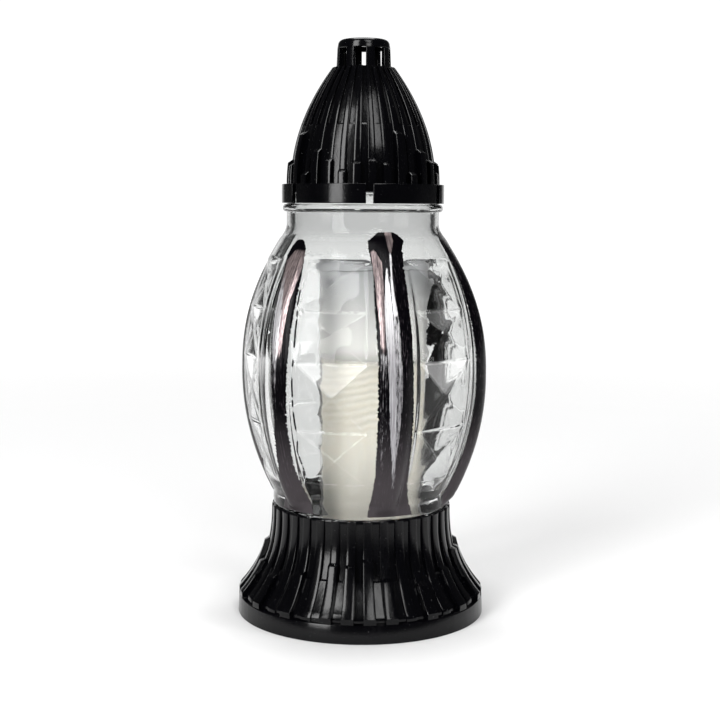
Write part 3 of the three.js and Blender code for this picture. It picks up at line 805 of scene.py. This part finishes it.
paint = Shade(bpy.data.materials.new("rib_enamel"))
on_rib = paint.node("Attribute", {"attribute_name": "on_rib"}, None, "Vector")
brushed = paint.node("Mapping", None, {"Vector": on_rib, "Scale": (1, 1, 0.02)})
dabbed = paint.node("Mapping", None, {"Vector": on_rib, "Scale": (1, 1, 0.2)})
brush = paint.noise(brushed, 2200, 4, 0.7)
streak = paint.noise(brushed, 650, 3, 0.6)
dab = paint.noise(dabbed, 1500, 3, 0.7)
blotch = paint.noise(on_rib, 160, 5, 0.7)
uneven = (streak - 0.5) * 0.8 + (brush - 0.5) * 0.8 + (dab - 0.5) * 0.9
# Painted highlights: the silver and copper strokes, partly the enamel's own cast
silver_highlight = (paint.attribute("silver_highlight") + uneven).ramp(0.55, 0.95)
copper_highlight = (paint.attribute("copper_highlight") + uneven * 0.6).ramp(0.4, 0.75)
up = paint.along("Z")
# Painted highlight: the silver is brighter higher up
silver_highlight_tone = paint.mix(up.ramp(0.112, 0.142) * 0.75 + (brush - 0.45) * 2.4, dim_silver_highlight, bright_silver_highlight)
copper_highlight_tone = paint.mix((brush + dab - 0.85) * 3.0, dark_copper_highlight, bright_copper_highlight)
# Painted glints: pale flecks on the black below the lobes
glint_mask = (brush * 0.5 + dab * 0.5).ramp(0.53, 0.66) * up.ramp(0.168, 0.16)
# Painted sheen: the black is greyer low down on the rib
ground = paint.mix(glint_mask, paint.mix(up.ramp(0.1, 0.062), black, foot_sheen), glint_colour)
rib_enamel = paint.finish({
    "Base Color": paint.mix(silver_highlight, paint.mix(copper_highlight, ground, copper_highlight_tone), silver_highlight_tone),
    "Metallic": 0.55 * (copper_highlight + silver_highlight * 0.2).math("MINIMUM", 1.0),
    "Roughness": 0.1 + brush * 0.18,
    "IOR": 1.15,
    "Normal": paint.bump(brush + streak + dab * 0.6 + blotch * 0.4, 0.4, 0.00012),
})


for number in range(jar_ribs):
    chance = np.random.default_rng(number + 3)
    ragged = chance.normal(0, paint_ragged, (2, paint_rows))
    off, z = rib_coat(paint_coats[number], paint_reaches[number], ragged)
    sideways = off * paint_sides[number]
    silver_highlight, copper_highlight = [tone(sideways, z, strokes) for strokes in paint_tones[number]]
    enamelled(
        f"rib_paint_{number + 1}",
        jar_rib_turn + number * 360 / jar_ribs,
        off,
        z,
        number / jar_ribs,
        silver_highlight * silver_highlight_shares[number],
        copper_highlight * copper_highlight_shares[number],
    )

# Spilt paint
# Where the brush slipped off the left rib, a broken black line lies on the edge of the sunk
# field beside it: a thin film of the same enamel, there in places only.
spill_rows, spill_columns = 400, 4
spill_low, spill_high = 0.068, 0.151
spill_off, spill_half, spill_least = 12.0, 0.42, 0.01
spill_sway, spill_sways = 0.35, 14
spill_gap, spill_gaps, spill_sharp, spill_thread = 0.28, 40, 6, 0.02
spill_ragged, spill_uneven = 0.08, 0.03
spill_place = 1.1

chance = np.random.default_rng(21)
z = np.linspace(spill_low, spill_high, spill_rows)
sways, gaps = [np.linspace(spill_low, spill_high, count) for count in (spill_sways, spill_gaps)]
slow = np.interp(z, sways, chance.normal(0, 1, spill_sways))
there = np.interp(z, gaps, chance.random(spill_gaps))
half = spill_half * np.clip((there - spill_gap) * spill_sharp, spill_thread, 1)
half = np.maximum(half + chance.normal(0, spill_uneven, spill_rows), spill_least)
middle = spill_off + slow * spill_sway + chance.normal(0, spill_ragged, spill_rows)
off = middle[:, None] + half[:, None] * np.linspace(-1, 1, spill_columns)
z, bare = np.broadcast_to(z[:, None], off.shape), np.zeros(off.shape)
enamelled("rib_paint_spill", jar_rib_turn - 360 / jar_ribs, off, z, spill_place, bare, bare)

# Lid
# One moulding in the same black plastic: a collar with six slots that grips the neck, a ribbed
# dome with thick lower parts on its ribs, and a hollow knob with eight smoke slots.
collar_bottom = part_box("lid_cap")[0][2]
lid_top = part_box("lid_cap")[1][2]
lid_seat = 0.1918
collar_top = 0.1953
collar_bore = 0.0348
collar_radius = 0.0366
collar_slots = 6
collar_slot_turn = 4.5
collar_slot_width = 4.9
seat_ring = 0.0275
dome_radius = 0.0326
dome_top = 0.2469
dome_top_radius = 0.014
dome_power = 2.05
lid_wall = 0.0015
lid_ribs = 32
lid_rib_turn = 6.7
lid_rib_width = 5.9
lid_rib_wall = 0.15
lid_rib_edge = 0.7
lid_rib_crown = 0.0001
lid_groove = 0.0014
lid_filler_top = 0.2213
lid_filler_drop = 0.0005
lid_filler_chamfer = 0.0007
lid_block_rise = 0.0019
lid_block_chamfer = 0.0014
lid_block_shares = (0.21, 0.18, 0.44, 0.1, 0.29, 0.21, 0.12, 0.19)
lid_corner = 0.00025
dome_rows = 40
overlap = 0.00005
knob_radius, knob_top_radius = 0.0123, 0.0116
knob_bore = 0.0101
knob_edge = 0.0024
knob_ceiling = 0.2576
knob_flat = 0.005
knob_slot_top = 0.2551
knob_slots = 8
knob_slot_turn = -8.25
knob_slot_width = 26
post_foot = 0.0005
post_head = 0.0003
post_draft = 0.0004
knob_columns, collar_columns, post_columns = 96, 40, 8
edge_round = 0.0003


def dome_surface():
    """Points and faces of the dome, a closed ring: seat, ribbed outside, knob's foot and plain
    inside. On a rib the radius is a power curve, less in a groove and more on a block."""
    azimuth, rib, face, drawn, off = rib_columns(
        lid_ribs, lid_rib_turn, lid_rib_width, lid_rib_wall, lid_rib_edge
    )
    width = len(azimuth)
    dome_height = dome_top - collar_top
    block = collar_top + np.resize(lid_block_shares, lid_ribs)[rib] * dome_height
    stops = [collar_top + share * dome_height for share in sorted(set(lid_block_shares))]
    turns = np.array([-lid_block_chamfer, -lid_block_chamfer / 2, 0, overlap * 2])
    rows = np.concatenate([
        np.linspace(collar_top, dome_top, dome_rows),
        *[stop + turns for stop in stops],
        lid_filler_top + lid_filler_chamfer * chamfer_rows,
    ])
    z = np.unique(rows.round(5))[:, None]
    share = np.clip((z - collar_top) / dome_height, 0, 1)
    curve = dome_radius - (dome_radius - dome_top_radius) * share**dome_power
    rise = lid_block_rise * np.clip((block - z) / lid_block_chamfer, 0, 1)
    crown = lid_rib_crown * (2 * off / lid_rib_width) ** 2
    proud = (curve + rise) / np.cos(np.radians(off)) - crown - drawn * lid_corner
    above = np.clip((z - lid_filler_top) / lid_filler_chamfer + 1, 0, 1)
    sunk = lid_filler_drop + (lid_groove - lid_filler_drop) * above
    outer = np.where(face > 0, proud, curve - sunk)
    inner_z = z[::-4, 0] - lid_wall
    kept = inner_z > collar_top
    inner = (curve[::-4, 0] - lid_groove - lid_wall)[kept]
    start = [seat_ring, collar_bore, collar_bore]
    start_z = [lid_seat, lid_seat, collar_top]
    end = [knob_radius, knob_bore, knob_bore, *inner, dome_radius - lid_groove - lid_wall]
    end_z = [dome_top, dome_top, dome_top - lid_wall, *inner_z[kept], collar_top]
    close, close_z = [seat_ring, seat_ring], [collar_top, lid_seat]
    radius = np.vstack([spread(start, width), outer, spread(end + close, width)])
    height = spread([*start_z, *z[:, 0], *end_z, *close_z], width)
    return around(radius, azimuth, height), quads(len(radius), width)


def arcs(outline, spans, columns):
    """Points and faces of closed blocks that share an outline of radius and height and each
    fill the azimuths of a span, with flat ends."""
    radius, height = np.transpose(outline)
    count = len(outline)
    points, faces = [], []
    for number, (start, end) in enumerate(spans):
        base = number * count * columns
        points.append(around(radius, np.linspace(start, end, columns)[:, None], height))
        i, j = np.mgrid[0 : columns - 1, 0:count]
        k = (j + 1) % count
        here, there = i * count, (i + 1) * count
        sides = np.stack([here + j, there + j, there + k, here + k], -1)
        faces += (sides.reshape(-1, 4) + base).tolist()
        faces.append((np.arange(count) + base).tolist())
        faces.append((np.arange(count)[::-1] + base + (columns - 1) * count).tolist())
    return np.array(points), faces


def slot_spans(count, turn, width):
    """The spans between slots of a width that are centred at a turn and evenly spaced."""
    pitch = 360 / count
    slots = [turn + i * pitch for i in range(count)]
    return [(slot + width / 2, slot + pitch - width / 2) for slot in slots]


def cap_surface():
    """Radius and height of the knob's cap: ceiling, bore, lower edge, outside, then an arc over
    to the top."""
    arc = np.linspace(0, np.pi / 2, 9)
    lower, low = knob_radius - post_draft, knob_slot_top
    radius = [0, knob_bore, knob_bore, lower - edge_round, lower]
    height = [knob_ceiling, knob_ceiling, low, low, low + edge_round]
    radius += [*(knob_top_radius - knob_edge * (1 - np.cos(arc))), knob_flat, 0]
    height += [*(lid_top - knob_edge * (1 - np.sin(arc))), lid_top, lid_top]
    azimuth = np.arange(knob_columns) * 360 / knob_columns
    return spread(radius, knob_columns), azimuth, spread(height, knob_columns)


collar_outline = [
    (collar_bore - overlap, collar_bottom),
    (collar_radius, collar_bottom),
    (collar_radius, collar_top),
    (collar_bore - overlap, collar_top),
]
post_outline = [
    (knob_bore, dome_top - post_foot),
    (knob_radius, dome_top - post_foot),
    (knob_radius - post_draft, knob_slot_top + post_head),
    (knob_bore, knob_slot_top + post_head),
]
collar_spans = slot_spans(collar_slots, collar_slot_turn, collar_slot_width)
post_spans = slot_spans(knob_slots, knob_slot_turn, knob_slot_width)
shapes = {
    "lid_dome": dome_surface(),
    "knob_cap": poled(*cap_surface()),
    "lid_collar": arcs(collar_outline, collar_spans, collar_columns),
    "knob_posts": arcs(post_outline, post_spans, post_columns),
}
moulded = [
    piece(name, "lid", "black_plastic", points, faces, black_gloss)
    for name, (points, faces) in shapes.items()
]
for part in moulded[2:]:
    bevel = part.modifiers.new("rounded_edges", "BEVEL")
    bevel.width = edge_round
    bevel.segments = 3
    bevel.limit_method = "ANGLE"
    bevel.angle_limit = np.radians(40)
for part in moulded:
    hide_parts("lid_cap")

# Heat shield
# A thin tinplate disc with round vents, pressed in above the lid's seat ring. It and the wick's
# sustainer are hardly seen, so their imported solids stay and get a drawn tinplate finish.
tin = Shade(bpy.data.materials.new("tinplate"))
drawn_lines = tin.noise(tin.place((1, 1, 8)), 300, 3, 0.6)
stain = tin.noise(tin.place(), 70, 4, 0.6)
tinplate = tin.finish({
    "Base Color": tin.mix(stain.ramp(0.4, 0.7), (0.66, 0.66, 0.67), (0.42, 0.40, 0.38)),
    "Metallic": 1.0,
    "Roughness": 0.22 + drawn_lines * 0.25,
    "Normal": tin.bump(drawn_lines, 0.2, 0.0001),
})
for name in ("heat_shield", "wick_sustainer"):
    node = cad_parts[name]
    node.data.materials.clear()
    node.data.materials.append(tinplate)

# Candle cup
# The insert's cup is thin frosted plastic. It stands loose on the jar's floor, a little to the
# right, and its wall is a bit wavy where the hot wax has shrunk away from it.
cup_low, cup_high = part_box("candle_cup")
insert_x = (cup_low[0] + cup_high[0]) / 2
cup_lip_radius = (cup_high[0] - cup_low[0]) / 2
cup_radius = 0.0245
cup_draft = 0.0005
cup_wall = 0.0009
cup_floor = 0.0012
cup_edge = 0.0009
cup_lip_height = 0.002
cup_lip_edge = 0.0003
cup_columns = 128
cup_rows = 40


def cup_surface():
    """Radius and height of the cup: floor, drafted wall and lip outside, then the wall and floor
    inside."""
    low, high = cup_low[2], cup_high[2]
    quarter = np.linspace(0, np.pi / 2, 6)
    foot = cup_radius - cup_draft
    wall_z = np.linspace(low + cup_edge, high - cup_lip_height, cup_rows)
    wall = foot + cup_draft * (wall_z - low) / (high - low)
    radius = [0, *(foot - cup_edge * (1 - np.sin(quarter))), *wall[1:]]
    height = [low, *(low + cup_edge * (1 - np.cos(quarter))), *wall_z[1:]]
    lip = high - cup_lip_height
    radius += [*(cup_lip_radius - cup_lip_edge * np.array([1, 0, 0, 1]))]
    height += [lip, lip + cup_lip_edge, high - cup_lip_edge, high]
    inner_z = np.linspace(high, low + cup_floor + cup_edge, cup_rows // 2)
    inner = foot + cup_draft * (inner_z - low) / (high - low) - cup_wall
    radius += [*inner, inner[-1] - cup_edge, 0]
    height += [*inner_z, low + cup_floor, low + cup_floor]
    azimuth = np.arange(cup_columns) * 360 / cup_columns
    return spread(radius, cup_columns), azimuth, spread(height, cup_columns)


def on_insert(points_and_faces):
    """Moves points from the lantern's axis to the insert's."""
    points, faces = points_and_faces
    return points + np.array([insert_x, 0, 0]), faces


# Warm and clear where the wax fills the cup; milky above it, and grey there with painted shade
warm_frost, shaded_frost = (0.465, 0.46, 0.441), (0.19, 0.193, 0.197)

frost = Shade(bpy.data.materials.new("frosted_plastic"))
cloud = frost.noise(frost.place(), 60, 3, 0.6)
up = frost.along("Z")
frosted_plastic = frost.finish({
    "Base Color": frost.mix(up.ramp(0.12, 0.16), warm_frost, shaded_frost),
    "Roughness": 0.32 + cloud * 0.1,
    "Alpha": up.ramp(0.113, 0.125, 0.12, 0.9) + cloud * 0.08,
    "IOR": 1.46,
    "Normal": frost.bump(cloud, 0.2, 0.0004),
})
cup_shell = piece(
    "cup_shell", "candle", "cup_plastic", *on_insert(poled(*cup_surface())), frosted_plastic
)
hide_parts("candle_cup")

# Wax
# Cream paraffin poured into the cup. Its side has slanted ripples where it cooled against the
# cup, its top is dished, and it leaves room below for the wick's sustainer.
wax_low, wax_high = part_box("candle_wax")
wax_radius = (wax_high[0] - wax_low[0]) / 2
wax_draft = 0.0004
wax_edge = 0.0005
wax_dish = 0.0008
wax_climb = 0.0005
wick_bore = 0.0012
tube_radius, tube_top = 0.0021, 0.0083
disc_radius, disc_top = 0.0093, 0.0007
wax_columns = 96


def wax_surface():
    """Radius and height of the candle: a flat foot over the sustainer, a drafted side, and a
    dished top that falls in a cosine from the rim and climbs a little up the wick."""
    low, high = wax_low[2], wax_high[2]
    foot = wax_radius - wax_draft
    dish = np.linspace(0, 1, 30)
    top = wax_radius - wax_edge - (wax_radius - wax_edge - wick_bore) * dish
    fall = wax_dish * (1 - np.cos(np.pi * dish)) / 2
    climb = wax_climb * np.exp((wick_bore - top) / wick_bore)
    tube, disc = low + tube_top, low + disc_top
    radius = [tube_radius, tube_radius, disc_radius, disc_radius, foot - wax_edge, foot]
    height = [tube, disc, disc, low, low, low + wax_edge]
    radius += [wax_radius, *top, wick_bore, tube_radius]
    height += [high - wax_edge, *(high - fall + climb), tube, tube]
    azimuth = np.arange(wax_columns) * 360 / wax_columns
    points = around(spread(radius, wax_columns), azimuth, spread(height, wax_columns))
    return points, quads(len(radius), wax_columns)


# Painted shade: the wax is darker low down in the jar
shaded_low_cream, deep_cream = (0.33, 0.31, 0.26), (0.53, 0.501, 0.419)
pale_cream, ripple_shade = (0.588, 0.564, 0.487), (0.43, 0.39, 0.305)
ripple_slant = np.radians(14)

wax = Shade(bpy.data.materials.new("cream_wax"))
mottle = wax.noise(wax.place(), 55, 4, 0.6)
grain = wax.noise(wax.place(), 700, 2, 0.5)
slanted = wax.node("Mapping", None, {"Vector": wax.place(), "Rotation": (0, ripple_slant, 0)})
wave = {"Vector": slanted, "Scale": 98, "Distortion": 3.0, "Detail": 1.0, "Detail Scale": 0.5}
ripple = wax.node("TexWave", {"bands_direction": "Z", "wave_profile": "SIN"}, wave, "Fac")
up = wax.along("Z")
zone = up.ramp(0.082, 0.092) * (0.4 + mottle)
cream = wax.mix(mottle.ramp(0.35, 0.65), deep_cream, pale_cream)
# Painted shade: the wax is darker in its ripples
cream = wax.mix(ripple * zone * 0.5, cream, ripple_shade)
cream_wax = wax.finish({
    "Base Color": wax.mix(up.ramp(0.05, 0.085), shaded_low_cream, cream),
    "Roughness": 0.42 + mottle * 0.15,
    "IOR": 1.43,
    "Subsurface Weight": 0.3,
    "Subsurface Radius": (0.004, 0.003, 0.002),
    "Subsurface Scale": 1.0,
    "Normal": wax.bump(grain * 0.3 + mottle + ripple * zone * 1.5, 0.4, 0.0004),
})
wax_block = piece("wax_block", "candle", "paraffin_wax", *on_insert(wax_surface()), cream_wax)
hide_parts("candle_wax")

# Wick
# A braided cotton cord, held upright by the sustainer and free above the wax.
wick_low, wick_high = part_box("wick")
wick_radius = 0.001
wick_turn = 0.0024
wick_tip, wick_tip_round = 0.0008, 0.98
wick_core, wick_swell = 0.72, 0.13
wick_rows = 200
wick_columns = 24


def wick_surface():
    """Radius and height of the wick: a thin cord whose radius swells and sinks in two sets of
    crossing turns, as a braid does, with a rounded tip."""
    rows = np.linspace(wick_low[2], wick_high[2], wick_rows)[:, None]
    azimuth = np.arange(wick_columns) * 360 / wick_columns
    turn = np.radians(azimuth)
    turns = (rows - wick_low[2]) / wick_turn * 2 * np.pi
    braid = np.abs(np.sin(turn + turns)) + np.abs(np.sin(turn - turns))
    near_tip = np.clip((wick_high[2] - rows) / wick_tip, 0, 1)
    tip = np.sqrt(1 - (1 - near_tip) ** 2 * wick_tip_round)
    radius = wick_radius * (wick_core + wick_swell * braid) * tip
    radius[[0, -1]] = 0
    return radius, azimuth, np.broadcast_to(rows, radius.shape)


cotton = Shade(bpy.data.materials.new("wick_cotton"))
fuzz = cotton.noise(cotton.place(), 2500, 2, 0.6)
wick_cotton = cotton.finish({
    "Base Color": cotton.mix(fuzz, (0.62, 0.58, 0.48), (0.84, 0.81, 0.73)),
    "Roughness": 0.9,
    "Normal": cotton.bump(fuzz, 0.4, 0.0001),
})
wick_braid = piece(
    "wick_braid", "candle", "wick_cotton", *on_insert(poled(*wick_surface())), wick_cotton
)
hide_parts("wick")
